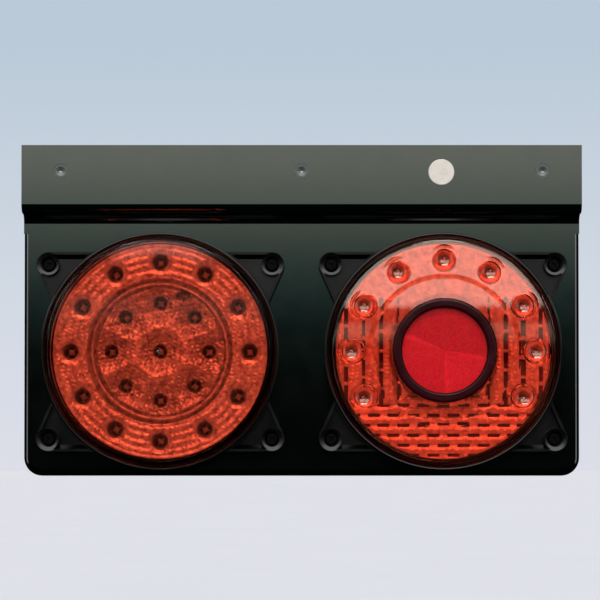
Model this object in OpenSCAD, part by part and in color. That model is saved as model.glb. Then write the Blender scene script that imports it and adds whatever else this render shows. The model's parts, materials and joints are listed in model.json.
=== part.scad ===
// Truck tail light: two round LED lamps on one pressed steel bracket.
// Left and right are as seen from behind the truck, facing the lenses.
// The origin is on the rear face of the top flange, at the middle mounting stud.
// +X is right, +Z is up, and the lenses face -Y.

/* [Bracket] */
// Width of the plate beside a lamp's collar
side_margin = 11.5; // [9:0.1:30]
// Distance between the two collars
lamp_gap = 27; // [20:0.1:60]
// Height of the plate between a collar and the hollow bend
upper_margin = 6.3; // [5.5:0.1:30]
// Height of the plate below a collar
lower_margin = 3.1; // [0.5:0.1:20]
// Thickness of the steel sheet
sheet_t = 2; // [1.5:0.1:2.5]
// Height of the flat part of the top flange
flange_h = 35.5; // [30:0.5:40]
// How far the top flange stands in front of the lamp plate
joggle_d = 14; // [12:0.5:20]
// Outer radius of the bend below the flange
bend_r = 5; // [3:0.1:6]
// Front radius of the hollow bend above the lamp plate
hollow_r = 5.5; // [4:0.1:6.5]
// Radius of the two bottom corners
corner_r = 11; // [8:0.5:16]
// Depth of the rim that is folded back
rim_d = 12; // [9:0.5:16]
// Outer radius of the fold between plate and rim
fold_r = 4; // [3:0.1:6]
// Height of the plain strip between the hollow bend and the top of the rim
rim_relief = 6; // [3:0.5:10]

/* [Mounting studs] */
// Distance of the outer studs from the sides of the bracket
stud_inset = 23.5; // [18:0.5:50]
// Distance of the studs below the top edge
stud_drop = 15.7; // [12:0.1:20]
// Diameter of a stud
stud_d = 6; // [5:0.5:6.5]
// Length of a stud behind the flange
stud_l = 20; // [16:1:40]
// Diameter of the knurled neck that a stud is pressed in by
stud_neck_d = 7; // [6.8:0.1:7.2]
// Diameter of a stud's flush head
stud_head_d = 8.6; // [8.4:0.1:11]
// Thickness of a stud's head
stud_head_t = 1; // [0.8:0.1:1.2]
// Depth of a stud's head below the face of the flange
stud_sink = 0.25; // [0.1:0.05:0.3]
// Room round a stud's head and neck
stud_room = 0.1; // [0.05:0.01:0.2]

/* [Side marker] */
// Distance of the marker inward from the right lamp's centre
marker_inset = 1.3; // [0:0.1:20]
// Distance of the marker below the top edge
marker_drop = 16.3; // [12:0.1:20]
// Diameter of the marker
marker_d = 15.5; // [12:0.5:18]
// Thickness of the marker
marker_t = 0.9; // [0.5:0.1:1.5]

/* [Lamp housing] */
// Width of the seat inside the wall of the lens
seat_w = 4.8; // [4.2:0.1:5.2]
// Depth of the cup behind the front of the plate
cup_back = 26; // [24:0.5:36]
// Wall of the cup
cup_wall = 2.5; // [2:0.1:3]
// Radius of the edge round the cup's floor
cup_edge_r = 4; // [2:0.5:6]
// Room between the cup and the cut-out in the plate
cutout_room = 1; // [0.5:0.1:1.2]
// Thickness of the flange that carries the lens
seat_t = 4; // [3.5:0.1:5]
// Wall of the collar
collar_wall = 2; // [1.6:0.1:2.6]
// Height of the collar above the lens seat
collar_h = 8; // [5:0.5:10]
// Thickness of the gasket between housing and plate
gasket_t = 1.5; // [1:0.1:2.5]
// How far the gasket stays inside the housing's outline
gasket_inset = 0.8; // [0.4:0.1:1.5]

/* [Ears] */
// Distance of the fixing screws outside the collar
screw_offset = 13.7; // [13:0.1:15]
// Angle of the fixing screws round the lamp, up from the horizontal
screw_angle = 38; // [36:0.5:41]
// Radius of an ear round its screw
ear_r = 7.5; // [6.8:0.1:8.5]
// Height of an ear above the gasket
ear_h = 8; // [7:0.1:9]
// Lean of an ear's side edge
ear_lean = 24; // [15:1:30]
// Width of the rim round an ear's pocket
ear_rim = 1.6; // [1:0.1:2.2]
// Depth of an ear's pocket
ear_pocket = 4.6; // [3:0.1:5.5]
// Lean of a pocket's floor
pocket_lean = 0.8; // [0.4:0.1:2]
// Width of the sloping side along the top of a pocket
pocket_slope_w = 2.4; // [1:0.1:3]
// Radius of the recess for a screw head
recess_r = 4.8; // [4.4:0.1:5]
// Depth of the dished mouth round a recess
mouth_dip = 0.5; // [0.2:0.1:1]
// Width of the flat edge outside that mouth
mouth_edge = 0.4; // [0.2:0.1:1]
// Thickness of the ear below a screw head
recess_floor = 2; // [1.5:0.1:2.5]

/* [Fixing screws] */
// Diameter of a screw's shank
screw_d = 4; // [3:0.5:5]
// Length of a screw's shank
screw_l = 12; // [12:0.5:16]
// Diameter of a screw's head
head_d = 8; // [7:0.1:8.4]
// Height of a screw's head
head_h = 2.6; // [2:0.1:3]
// Room between a shank and the holes that it passes
hole_room = 0.25; // [0.2:0.05:0.4]
// Room between a shank and its nut
nut_room = 0.15; // [0.1:0.01:0.2]
// Diameter of a washer
washer_d = 9; // [8.5:0.1:9.4]
// Thickness of a washer
washer_t = 0.8; // [0.5:0.1:1]
// Width of a nut across its flats
nut_w = 7; // [6.6:0.1:7.4]
// Thickness of a nut
nut_t = 3.2; // [2.5:0.1:4]

/* [Lenses] */
// Outer radius of a lens
lens_r = 67.4; // [60:0.1:76]
// Height of a lens front above the front of the plate
lens_top = 26.5; // [24:0.5:32]
// Wall of a lens
lens_wall = 2.6; // [2.2:0.1:2.8]
// Radius of the dome of the left lens
left_dome_r = 650; // [500:10:900]
// Radius of the dome of the right lens
right_dome_r = 270; // [240:10:400]
// Radius of the edge round a lens front
lens_edge_r = 2; // [1.5:0.1:4]
// Width of the foot outside the wall of a lens
foot_w = 1.7; // [1.5:0.1:2.2]
// Height of the foot round a lens
foot_h = 3; // [2:0.1:4]
// Room between the foot and the collar
foot_room = 0.4; // [0.3:0.05:0.8]
// Room below the foot, taken up by the seal
foot_lift = 0.4; // [0.3:0.05:0.6]
// Width of the seal below a lens
seal_w = 2; // [1.5:0.1:2.2]
// Depth of the groove for the seal
seal_groove = 1.3; // [0.8:0.1:1.6]
// Room on each side of the seal
seal_room = 0.3; // [0.2:0.05:0.4]

/* [Lens optics] */
// Distance of the first ring groove inside the left lens from the inner lights
near_ring_gap = 9.2; // [8.5:0.1:10]
// Distance of the second ring groove inside the left lens from the inner lights
far_ring_gap = 13.7; // [13:0.1:14.5]
// Width of a ring groove inside the left lens
ring_w = 1.4; // [0.8:0.1:2]
// Depth of a ring groove inside the left lens
ring_depth = 1; // [0.5:0.1:1.4]
// Place of the ring groove on the right lens, from the bezel (0) to the bowls (1)
front_ring_share = 0.785; // [0.6:0.005:0.85]
// Width of the ring groove on the right lens
front_ring_w = 3; // [2:0.1:4]
// Depth of the ring groove on the right lens
front_ring_depth = 0.9; // [0.5:0.1:1.2]
// Radius of a bowl's mouth on the right lens
bowl_r = 7; // [6:0.1:7.2]
// Depth of a bowl on the right lens
bowl_depth = 3.4; // [2.5:0.1:4]
// Wall of the lens behind a bowl
bowl_wall = 2; // [1.6:0.1:2.4]

/* [Light sources] */
// Number of light sources in the left lamp's outer ring
outer_count = 12; // [8:1:14]
// Number of light sources in the right lamp's arc
arc_count = 9; // [7:1:10]
// Angle between two light sources in the right lamp's arc
arc_pitch = 30; // [28:1:34]
// Distance of the left outer ring from the wall of its lens
left_ring_gap = 11; // [10.6:0.1:13]
// Distance of the right outer ring from the wall of its lens
right_ring_gap = 9.6; // [9:0.1:10.5]
// Number of light sources in the left lamp's inner ring
inner_count = 8; // [6:1:9]
// Radius of the left lamp's inner ring, as a share of the inside of its lens
inner_share = 0.452; // [0.435:0.001:0.465]
// Width of a light source's base
led_w = 3.4; // [2.8:0.1:3.6]
// Height of a light source's base
led_h = 1.2; // [0.8:0.1:1.6]
// Radius of a light source's dome
led_dome_r = 1.6; // [1.2:0.1:1.7]

/* [Reflectors] */
// Height of a reflector's face above the front of the plate
face_z = 10; // [8:0.5:12]
// Thickness of a reflector's plate
face_t = 1.6; // [1.2:0.1:2.4]
// Room between a reflector and the lens round it
face_room = 0.5; // [0.3:0.1:1]
// Depth of the cups' feet behind the front of the plate
cup_foot = 1.5; // [1:0.1:3]
// Mouth radius of a cup in the left lamp's outer ring
left_cup_r = 5.2; // [4.6:0.1:5.6]
// Radius of a cup in a dish, where it meets the dish
inner_cup_r = 4.2; // [3.8:0.1:4.6]
// Mouth radius of a right cup
right_cup_r = 4.8; // [4:0.1:5]
// Hole radius at the bottom of a cup
cup_hole_r = 2.4; // [2.2:0.1:2.8]
// Wall of a cup
cup_t = 1; // [0.8:0.1:1.4]
// Radius of the dish round each inner cup, as a share of the inner ring's radius
dish_share = 0.496; // [0.4:0.002:0.5]
// Depth of the dish round each inner cup
dish_depth = 3.6; // [2:0.1:4]
// Radius of the dish round each cup in the left lamp's outer ring
outer_dish_r = 7.9; // [6.6:0.1:8.1]
// Depth of the dish round each outer cup
outer_dish_depth = 2.2; // [1:0.1:3]
// Distance of the left reflector's locating notch inside the first ring groove
notch_inset = 2.4; // [2:0.1:3.5]
// Angle of the locating notch, up from the right
notch_angle = 68; // [60:1:75]
// Length of the locating notch in the left reflector
notch_l = 7; // [4:0.5:9]
// Width of the locating notch in the left reflector
notch_w = 3.6; // [2:0.1:4]
// Width of the upright flutes at the sides of the right reflector
flute_w = 10.6; // [8:0.1:14]
// Height of the flutes above the reflector's face
flute_rise = 1.8; // [1:0.1:2.5]
// Height of the fluted field above and below the lamp's centre
flute_reach = 32; // [28:0.5:36]
// Height of a row of bricks below the flutes
brick_h = 6; // [5:0.1:8]
// Length of a brick
brick_l = 11.9; // [9:0.1:15]
// Height of the bricks above the reflector's face
brick_rise = 1; // [0.6:0.1:1.6]
// Width of the joint between two bricks
brick_joint = 0.9; // [0.5:0.1:1.5]

/* [Circuit boards] */
// Room between the edge of a circuit board and the housing
board_gap = 1.6; // [1.2:0.1:2.4]
// Thickness of a circuit board
board_t = 1.6; // [1:0.1:2]
// Room between a cup and the light source's base below it
board_room = 0.3; // [0.2:0.05:0.5]
// Distance of the board screws from the lamp's centre, as a share of the board's radius
post_share = 0.71; // [0.69:0.005:0.74]
// Radius of a post below the board
post_r = 3.5; // [3:0.1:4.5]
// Diameter of a board screw
board_screw_d = 2.6; // [2:0.1:3]
// Length of a board screw below the board
board_screw_l = 7; // [5:0.5:10]
// Diameter of a board screw's head
board_head_d = 5; // [4:0.1:6]
// Height of a board screw's head
board_head_h = 1.7; // [1.2:0.1:2]
// Length of a resistor
resistor_l = 6.3; // [5:0.1:7]
// Width of a resistor
resistor_w = 3.2; // [2.5:0.1:4]
// Thickness of a resistor
resistor_t = 0.7; // [0.5:0.1:1]
// Radius of a capacitor
capacitor_r = 3.2; // [2.5:0.1:4]
// Height of a capacitor
capacitor_h = 7; // [5:0.5:10]
// Width of the wire terminal
terminal_w = 10; // [8:0.5:14]
// Length of the wire terminal
terminal_l = 7; // [5:0.5:9]
// Height of the wire terminal
terminal_h = 5; // [4:0.5:8]

/* [Reflex reflector] */
// Radius of the reflex reflector
reflex_r = 25.3; // [22:0.1:28]
// Thickness of the reflex reflector
reflex_t = 3; // [2:0.1:4]
// Width of the bezel round it
bezel_w = 5.7; // [5:0.1:6.5]
// Height of the bezel's crest above the lens front
bezel_rise = 1.2; // [0.6:0.1:2]
// Depth of the well for the bezel
well_depth = 7.5; // [6.5:0.1:8.5]
// Height of the ledge below the reflex reflector
ledge_h = 2; // [1.5:0.1:3]
// Width of the ledge below the reflex reflector
ledge_w = 2.2; // [1.5:0.1:3]
// Room round the bezel and round the reflex reflector
bezel_room = 0.3; // [0.2:0.05:0.5]

/* [Rear fittings] */
// Distance of the cable gland below the lamp's centre, as a share of the cup's inside
gland_share = 0.5; // [0.4:0.01:0.56]
// Radius of the hole for the cable
gland_bore_r = 3.2; // [2.5:0.1:4]
// Radius of the gland's neck
gland_neck_r = 5.7; // [5.2:0.1:6.5]
// Radius of the gland's flanges
gland_flange_r = 9; // [8:0.1:10]
// Length of the gland's nose
gland_nose = 12; // [8:0.5:16]
// Distance of the vent cap from the lamp's centre, as a share of the cup's inside
vent_share = 0.667; // [0.6:0.001:0.74]
// Radius of the vent cap
vent_r = 5.5; // [5:0.1:7]
// Height of the vent cap
vent_h = 4; // [3:0.1:6]
// Radius of the vent's stem
vent_stem_r = 2; // [1.5:0.1:2.5]
// Room round the gland's neck and the vent's stem
fitting_room = 0.2; // [0.1:0.05:0.3]

/* [Hidden] */
$fn = 96;
cut = 1;

// Radii in a lamp
lens_in = lens_r - lens_wall;
foot_r = lens_r + foot_w;
collar_in = foot_r + foot_room;
collar_r = collar_in + collar_wall;
bore_r = lens_in - seat_w;
cup_r = bore_r + cup_wall;
cutout_r = cup_r + cutout_room;
face_r = lens_in - face_room;
seal_mid = (lens_in + foot_r) / 2;
board_r = bore_r - board_gap;

// Rings of lights, grooves and bowls in the two lenses
left_outer_r = lens_in - left_ring_gap;
right_outer_r = lens_in - right_ring_gap;
inner_r = inner_share * lens_in;
dish_r = dish_share * inner_r;
near_ring_r = inner_r + near_ring_gap;
far_ring_r = inner_r + far_ring_gap;
bezel_r = reflex_r + bezel_w;
well_r = bezel_r + bezel_room;
front_ring_r = bezel_r + front_ring_share * (right_outer_r - bowl_r - bezel_r);

// Places across and up the bracket, from the middle stud
lamp_x = collar_r + lamp_gap / 2;
bracket_w = 2 * (lamp_x + collar_r + side_margin);
stud_pitch = bracket_w / 2 - stud_inset;
marker_x = lamp_x - marker_inset;
screw_x = (collar_r + screw_offset) * cos(screw_angle);
screw_y = (collar_r + screw_offset) * sin(screw_angle);
top_z = stud_drop;
bend_z = top_z - flange_h;
web_z = bend_z - bend_r;
hollow_z = web_z - hollow_r;
tray_top = hollow_z - rim_relief;
lamp_z = hollow_z - upper_margin - collar_r;
bottom_z = lamp_z - collar_r - lower_margin;
plate_y = joggle_d - sheet_t;

// Levels in a lamp, forward from the front of the plate
seat_z = gasket_t + seat_t;
collar_top = seat_z + collar_h;
ear_top = gasket_t + ear_h;
head_z = gasket_t + recess_floor;
foot_z = seat_z + foot_lift;
floor_z = cup_wall - cup_back;
cup_foot_z = -cup_foot;
board_top = cup_foot_z - led_h - board_room;
board_back = board_top - board_t;
well_z = lens_top - well_depth;
reflex_z = well_z + ledge_h;
hole_r = screw_d / 2 + hole_room;

function arc(c, r, a0, a1, n = 8) =
    [for (i = [0:n]) let (a = a0 + (a1 - a0) * i / n) c + r * [cos(a), sin(a)]];

function polar(r, a) = [r * cos(a), r * sin(a)];

// Height of a lens front, and of a face parallel to it, at radius r
function dome_z(r, dome_r, inset = 0) =
    lens_top - dome_r + sqrt(pow(dome_r - inset, 2) - r * r);

// Points along such a face from radius r0 to radius r1
function dome(r0, r1, dome_r, inset = 0, n = 8) =
    [for (i = [0:n]) let (r = r0 + (r1 - r0) * i / n) [r, dome_z(r, dome_r, inset)]];

// The front of a lens from radius r0 outward and down its rounded edge
function lens_front(r0, dome_r) =
    let (
        end_r = (lens_r - lens_edge_r) / (1 - lens_edge_r / dome_r),
        lean = acos(end_r / dome_r),
        centre = [lens_r - lens_edge_r, dome_z(end_r, dome_r) - lens_edge_r * sin(lean)]
    )
    concat(dome(r0, end_r, dome_r), arc(centre, lens_edge_r, lean, 0, 6));

// Stands a shape drawn with +Z forward on the bracket, its Y axis up
module forward(x = 0, z = 0) {
    translate([x, plate_y, z])
        rotate([90, 0, 0])
            children();
}

module at_lamp(side) {
    forward(side * lamp_x, lamp_z)
        children();
}

module in_four_corners() {
    for (mx = [0, 1])
        for (my = [0, 1])
            mirror([mx, 0, 0])
                mirror([0, my, 0])
                    children();
}

module at_screws() {
    in_four_corners()
        translate([screw_x, screw_y, 0])
            children();
}

module ring_of(count, r) {
    for (i = [0:count - 1])
        rotate([0, 0, 90 + i * 360 / count])
            translate([r, 0, 0])
                children();
}

module at_left_leds() {
    ring_of(outer_count, left_outer_r)
        children();
    ring_of(inner_count, inner_r)
        children();
    children();
}

module at_right_leds() {
    for (i = [0:arc_count - 1])
        rotate([0, 0, 90 + (i - (arc_count - 1) / 2) * arc_pitch])
            translate([right_outer_r, 0, 0])
                children();
}

module at_posts() {
    for (a = [15, 135, 255])
        translate(polar(post_share * board_r, a))
            children();
}

// Section across the folded rim: outward from the corner's axis, and back
module rim_section() {
    fold = [corner_r - fold_r, -fold_r];
    polygon(concat(
        [[0, 0]],
        arc(fold, fold_r, 90, 0),
        [[corner_r, -rim_d], [corner_r - sheet_t, -rim_d]],
        arc(fold, fold_r - sheet_t, 0, 90),
        [[0, -sheet_t]]
    ));
}

// Section down the flange, the joggle and the top of the lamp plate: forward, and up
module joggle_section() {
    bend = [joggle_d - bend_r, bend_z];
    hollow = [hollow_r, hollow_z];
    polygon(concat(
        [[joggle_d, top_z]],
        arc(bend, bend_r, 0, -90),
        arc(hollow, hollow_r, 90, 180),
        [[0, tray_top], [-sheet_t, tray_top]],
        arc(hollow, hollow_r + sheet_t, 180, 90),
        arc(bend, bend_r - sheet_t, -90, 0),
        [[joggle_d - sheet_t, top_z]]
    ));
}

module tray() {
    half_w = bracket_w / 2 - corner_r;
    low = bottom_z + corner_r;
    translate([-half_w, low, -sheet_t])
        cube([2 * half_w, tray_top - low, sheet_t]);
    translate([half_w, low, 0])
        rotate([90, 0, -90])
            linear_extrude(2 * half_w)
                rim_section();
    for (mx = [0, 1])
        mirror([mx, 0, 0]) {
            translate([half_w, tray_top, 0])
                rotate([90, 0, 0])
                    linear_extrude(tray_top - low)
                        rim_section();
            translate([half_w, low, 0])
                rotate([0, 0, -90])
                    rotate_extrude(angle = 90)
                        rim_section();
        }
}

module bracket() {
    pocket = stud_head_t + stud_sink;
    color([0.16, 0.19, 0.18])
        forward()
            difference() {
                union() {
                    tray();
                    rotate([0, -90, 0])
                        linear_extrude(bracket_w, center = true)
                            joggle_section();
                }
                for (side = [-1, 1])
                    translate([side * lamp_x, lamp_z, -sheet_t - cut]) {
                        cylinder(r = cutout_r, h = sheet_t + 2 * cut);
                        at_screws()
                            cylinder(r = hole_r, h = sheet_t + 2 * cut);
                    }
                for (i = [-1:1])
                    translate([i * stud_pitch, 0, joggle_d]) {
                        translate([0, 0, -sheet_t - cut])
                            cylinder(r = stud_neck_d / 2 + stud_room, h = sheet_t + cut);
                        translate([0, 0, -pocket])
                            cylinder(r = stud_head_d / 2 + stud_room, h = pocket + cut);
                    }
            }
}

module mounting_studs() {
    tip = stud_d / 8;
    front = -sheet_t + stud_sink;
    dish = stud_head_t / 4;
    color([0.3, 0.32, 0.31])
        for (i = [-1:1])
            translate([i * stud_pitch, 0, 0])
                rotate([-90, 0, 0])
                    rotate_extrude()
                        polygon([
                            [0, front + dish], [stud_head_d / 3, front],
                            [stud_head_d / 2, front], [stud_head_d / 2, front + stud_head_t],
                            [stud_neck_d / 2, front + stud_head_t], [stud_neck_d / 2, 0],
                            [stud_d / 2, 0], [stud_d / 2, stud_l - tip],
                            [stud_d / 2 - tip, stud_l], [0, stud_l]
                        ]);
}

module side_marker() {
    edge = marker_t / 3;
    color([0.93, 0.93, 0.9])
        translate([marker_x, -sheet_t, top_z - marker_drop])
            rotate([90, 0, 0])
                rotate_extrude()
                    polygon([
                        [0, 0], [marker_d / 2, 0], [marker_d / 2, marker_t - edge],
                        [marker_d / 2 - edge, marker_t], [0, marker_t]
                    ]);
}

// Outline of one ear, or of a shape inset from it
module ear_outline(inset = 0) {
    r = ear_r - inset;
    side = [cos(ear_lean), -sin(ear_lean)];
    down = [-sin(ear_lean), -cos(ear_lean)];
    corner = [screw_x, screw_y];
    inner_x = screw_x / 3;
    translate(corner)
        circle(r = r);
    polygon([
        corner + [0, r],
        [inner_x, screw_y + r],
        corner + r * side + (collar_r / 2) * down,
        corner + r * side
    ]);
}

// Room of the pocket between an ear's rim, its screw's boss and the collar
module ear_pocket_space() {
    translate([0, screw_y, ear_top - ear_pocket])
        rotate([-pocket_lean, 0, 0])
            difference() {
                translate([0, -screw_y, 0])
                    linear_extrude(ear_pocket + 2 * cut)
                        difference() {
                            ear_outline(ear_rim);
                            translate([screw_x, screw_y])
                                circle(r = recess_r + ear_rim);
                            circle(r = collar_r + ear_rim / 2);
                        }
                translate([0, ear_r - ear_rim, 0])
                    rotate([90, 0, 90])
                        linear_extrude(screw_x)
                            polygon([[cut, 0], [-pocket_slope_w, 0], [0, ear_pocket], [cut, ear_pocket]]);
            }
}

module ears() {
    difference() {
        translate([0, 0, gasket_t])
            linear_extrude(ear_h)
                difference() {
                    in_four_corners()
                        ear_outline();
                    circle(r = collar_r - collar_wall / 2);
                }
        in_four_corners()
            ear_pocket_space();
        at_screws() {
            translate([0, 0, ear_top - mouth_dip])
                cylinder(r1 = recess_r, r2 = ear_r - mouth_edge, h = mouth_dip);
            translate([0, 0, head_z])
                cylinder(r = recess_r, h = ear_h + cut);
            cylinder(r = hole_r, h = ear_h + cut);
        }
    }
}

module housing() {
    round_r = collar_wall / 2;
    groove_out = seal_mid + seal_w / 2 + seal_room;
    groove_in = seal_mid - seal_w / 2 - seal_room;
    color([0.08, 0.08, 0.09]) {
        rotate_extrude()
            polygon(concat(
                [[bore_r, gasket_t], [collar_r, gasket_t]],
                arc([collar_r - round_r, collar_top - round_r], round_r, 0, 180),
                [
                    [collar_in, seat_z],
                    [groove_out, seat_z], [groove_out, seat_z - seal_groove],
                    [groove_in, seat_z - seal_groove], [groove_in, seat_z],
                    [bore_r, seat_z]
                ]
            ));
        ears();
    }
}

// Welded to the back of the housing, through the cut-out in the plate
module rear_cup() {
    color([0.08, 0.08, 0.09]) {
        difference() {
            rotate_extrude()
                polygon(concat(
                    [[0, -cup_back]],
                    arc([cup_r - cup_edge_r, cup_edge_r - cup_back], cup_edge_r, -90, 0),
                    [[cup_r, gasket_t], [bore_r, gasket_t], [bore_r, floor_z], [0, floor_z]]
                ));
            at_gland()
                translate([0, 0, -cup_back - cut])
                    cylinder(r = gland_neck_r + fitting_room, h = cup_wall + 2 * cut);
            at_vent()
                translate([0, 0, -cup_back - cut])
                    cylinder(r = vent_stem_r + fitting_room, h = cup_wall + 2 * cut);
        }
        at_posts()
            difference() {
                translate([0, 0, floor_z - cup_wall / 2])
                    cylinder(r = post_r, h = board_back - floor_z + cup_wall / 2);
                translate([0, 0, board_back - board_screw_l - cut])
                    cylinder(r = board_screw_d / 2 + nut_room, h = board_screw_l + 2 * cut);
            }
    }
}

module gasket() {
    color([0.05, 0.05, 0.05])
        linear_extrude(gasket_t)
            difference() {
                union() {
                    in_four_corners()
                        ear_outline(gasket_inset);
                    circle(r = collar_r - gasket_inset);
                }
                circle(r = cutout_r);
                at_screws()
                    circle(r = hole_r);
            }
}

// Body of a lens, with or without the well in its middle
module lens_body(dome_r, well = false) {
    well_out = well_r + lens_wall;
    middle_top = well ? [[0, well_z], [well_r, well_z]] : [];
    middle_back = well
        ? [[well_out, dome_z(well_out, dome_r, lens_wall)], [well_out, well_z - lens_wall],
            [0, well_z - lens_wall]]
        : [];
    rotate_extrude()
        polygon(concat(
            middle_top,
            lens_front(well ? well_r : 0, dome_r),
            [
                [lens_r, foot_z + foot_h], [foot_r, foot_z + foot_h],
                [foot_r, foot_z], [lens_in, foot_z]
            ],
            dome(lens_in, well ? well_out : 0, dome_r, lens_wall),
            middle_back
        ));
}

module left_lens_shape() {
    difference() {
        lens_body(left_dome_r);
        for (r = [near_ring_r, far_ring_r])
            translate([0, 0, dome_z(r, left_dome_r, lens_wall) - cut])
                difference() {
                    cylinder(r = r + ring_w / 2, h = ring_depth + cut);
                    cylinder(r = r - ring_w / 2, h = 3 * cut + ring_depth, center = true);
                }
    }
}

module right_lens_shape() {
    ball_r = ball_radius(bowl_r, bowl_depth);
    mouth_z = dome_z(right_outer_r, right_dome_r);
    ball_z = mouth_z + ball_r - bowl_depth;
    difference() {
        union() {
            lens_body(right_dome_r, well = true);
            at_right_leds()
                intersection() {
                    translate([0, 0, ball_z])
                        sphere(r = ball_r + bowl_wall);
                    translate([0, 0, mouth_z - lens_wall / 2 - ball_r])
                        cylinder(r = lens_r - right_outer_r - lens_wall / 2, h = ball_r);
                }
        }
        at_right_leds()
            translate([0, 0, ball_z])
                sphere(r = ball_r);
        translate([0, 0, dome_z(front_ring_r, right_dome_r) - front_ring_depth])
            difference() {
                cylinder(r = front_ring_r + front_ring_w / 2, h = front_ring_depth + cut);
                cylinder(r = front_ring_r - front_ring_w / 2, h = 4 * cut, center = true);
            }
    }
}

module lens_seal() {
    color([0.1, 0.1, 0.1])
        translate([0, 0, seat_z - seal_groove])
            difference() {
                cylinder(r = seal_mid + seal_w / 2, h = seal_groove + foot_lift);
                translate([0, 0, -cut])
                    cylinder(r = seal_mid - seal_w / 2, h = seal_groove + foot_lift + 2 * cut);
            }
}

module cup_outside(mouth_r, top) {
    translate([0, 0, cup_foot_z])
        cylinder(r1 = cup_hole_r + cup_t, r2 = mouth_r + cup_t, h = top - cup_foot_z);
}

module cup_inside(mouth_r, top) {
    slope = (mouth_r - cup_hole_r) / (top - cup_foot_z);
    translate([0, 0, cup_foot_z - cut])
        cylinder(r1 = cup_hole_r - slope * cut, r2 = mouth_r + slope * cut,
            h = top - cup_foot_z + 2 * cut);
}

// Keeps a shape clear of the housing's bore, and above that of the lens
module in_housing() {
    intersection() {
        children();
        union() {
            translate([0, 0, cup_foot_z - cut])
                cylinder(r = bore_r - fitting_room, h = face_z - cup_foot_z + 2 * cut);
            translate([0, 0, seat_z])
                cylinder(r = face_r, h = face_z);
        }
    }
}

module rim_of_reflector() {
    rotate_extrude()
        polygon([
            [bore_r - face_t, face_z], [bore_r - face_t, face_z - face_t],
            [bore_r, face_z - face_t], [bore_r, seat_z],
            [face_r, seat_z], [face_r, face_z]
        ]);
}

// Radius of a ball or rod that rises or sinks by depth over half a width of r
function ball_radius(r, depth) = (pow(r, 2) + pow(depth, 2)) / (2 * depth);

module left_reflector_shape() {
    ball_r = ball_radius(dish_r, dish_depth);
    outer_ball_r = ball_radius(outer_dish_r, outer_dish_depth);
    outer_back = outer_dish_depth + face_t;
    block_r = far_ring_r - ring_w / 2;
    dish_floor = face_z - dish_depth;
    notch_deep = 2 * (dish_depth + face_t + cut);
    difference() {
        union() {
            rim_of_reflector();
            translate([0, 0, face_z - face_t])
                cylinder(r = bore_r, h = face_t);
            translate([0, 0, dish_floor - face_t])
                cylinder(r = block_r, h = dish_depth + face_t);
            in_housing()
                ring_of(outer_count, left_outer_r) {
                    cup_outside(left_cup_r, face_z);
                    translate([0, 0, face_z - outer_back])
                        cylinder(r = outer_dish_r + cup_t, h = outer_back);
                }
            ring_of(inner_count, inner_r)
                cup_outside(inner_cup_r, dish_floor);
            cup_outside(inner_cup_r, dish_floor);
        }
        ring_of(outer_count, left_outer_r) {
            cup_inside(left_cup_r, face_z);
            translate([0, 0, face_z - outer_dish_depth + outer_ball_r])
                sphere(r = outer_ball_r);
        }
        ring_of(inner_count, inner_r)
            cup_inside(inner_cup_r, dish_floor);
        cup_inside(inner_cup_r, dish_floor);
        ring_of(inner_count, inner_r)
            translate([0, 0, dish_floor + ball_r])
                sphere(r = ball_r);
        translate([0, 0, dish_floor + ball_r])
            sphere(r = ball_r);
        rotate([0, 0, notch_angle])
            translate([near_ring_r - notch_inset, 0, face_z])
                cube([notch_w, notch_l, notch_deep], center = true);
    }
}

// Upright rods side by side, sunk in the face beside the reflex reflector
module flutes() {
    rod_r = ball_radius(flute_w / 2, flute_rise);
    last = ceil(face_r / flute_w);
    for (i = [-last:last])
        if (abs(i) * flute_w > bezel_r)
            translate([i * flute_w, flute_reach, face_z + flute_rise - rod_r])
                rotate([90, 0, 0])
                    cylinder(r = rod_r, h = 2 * flute_reach);
}

// Level rods below them, parted into staggered bricks
module bricks() {
    rod_r = ball_radius(brick_h / 2, brick_rise);
    rows = floor((face_r - flute_reach) / brick_h);
    last = ceil(face_r / brick_l);
    difference() {
        for (row = [1:rows])
            translate([0, brick_h / 2 - flute_reach - row * brick_h, face_z + brick_rise - rod_r])
                rotate([0, 90, 0])
                    cylinder(r = rod_r, h = 2 * face_r, center = true);
        for (row = [1:rows])
            for (i = [-last:last])
                translate([(i + (row % 2) / 2) * brick_l, brick_h / 2 - flute_reach - row * brick_h, face_z])
                    cube([brick_joint, brick_h, 2 * brick_rise + cut], center = true);
    }
}

module right_reflector_shape() {
    difference() {
        union() {
            rim_of_reflector();
            translate([0, 0, face_z - face_t])
                cylinder(r = bore_r, h = face_t);
            intersection() {
                translate([0, 0, face_z - face_t / 2])
                    cylinder(r = face_r, h = face_t + flute_rise);
                union() {
                    flutes();
                    bricks();
                }
            }
            in_housing()
                at_right_leds()
                    cup_outside(right_cup_r, face_z);
        }
        at_right_leds()
            cup_inside(right_cup_r, face_z);
    }
}

module circuit_board() {
    color([0.1, 0.3, 0.18])
        translate([0, 0, board_back])
            difference() {
                cylinder(r = board_r, h = board_t);
                at_posts()
                    translate([0, 0, -cut])
                        cylinder(r = board_screw_d / 2 + hole_room, h = board_t + 2 * cut);
            }
}

module led() {
    color([0.85, 0.8, 0.7])
        translate([0, 0, board_top]) {
            translate([-led_w / 2, -led_w / 2, 0])
                cube([led_w, led_w, led_h]);
            intersection() {
                translate([0, 0, led_h])
                    sphere(r = led_dome_r);
                translate([0, 0, led_h / 2])
                    cylinder(r = led_w, h = led_h / 2 + led_dome_r + cut);
            }
        }
}

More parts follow.
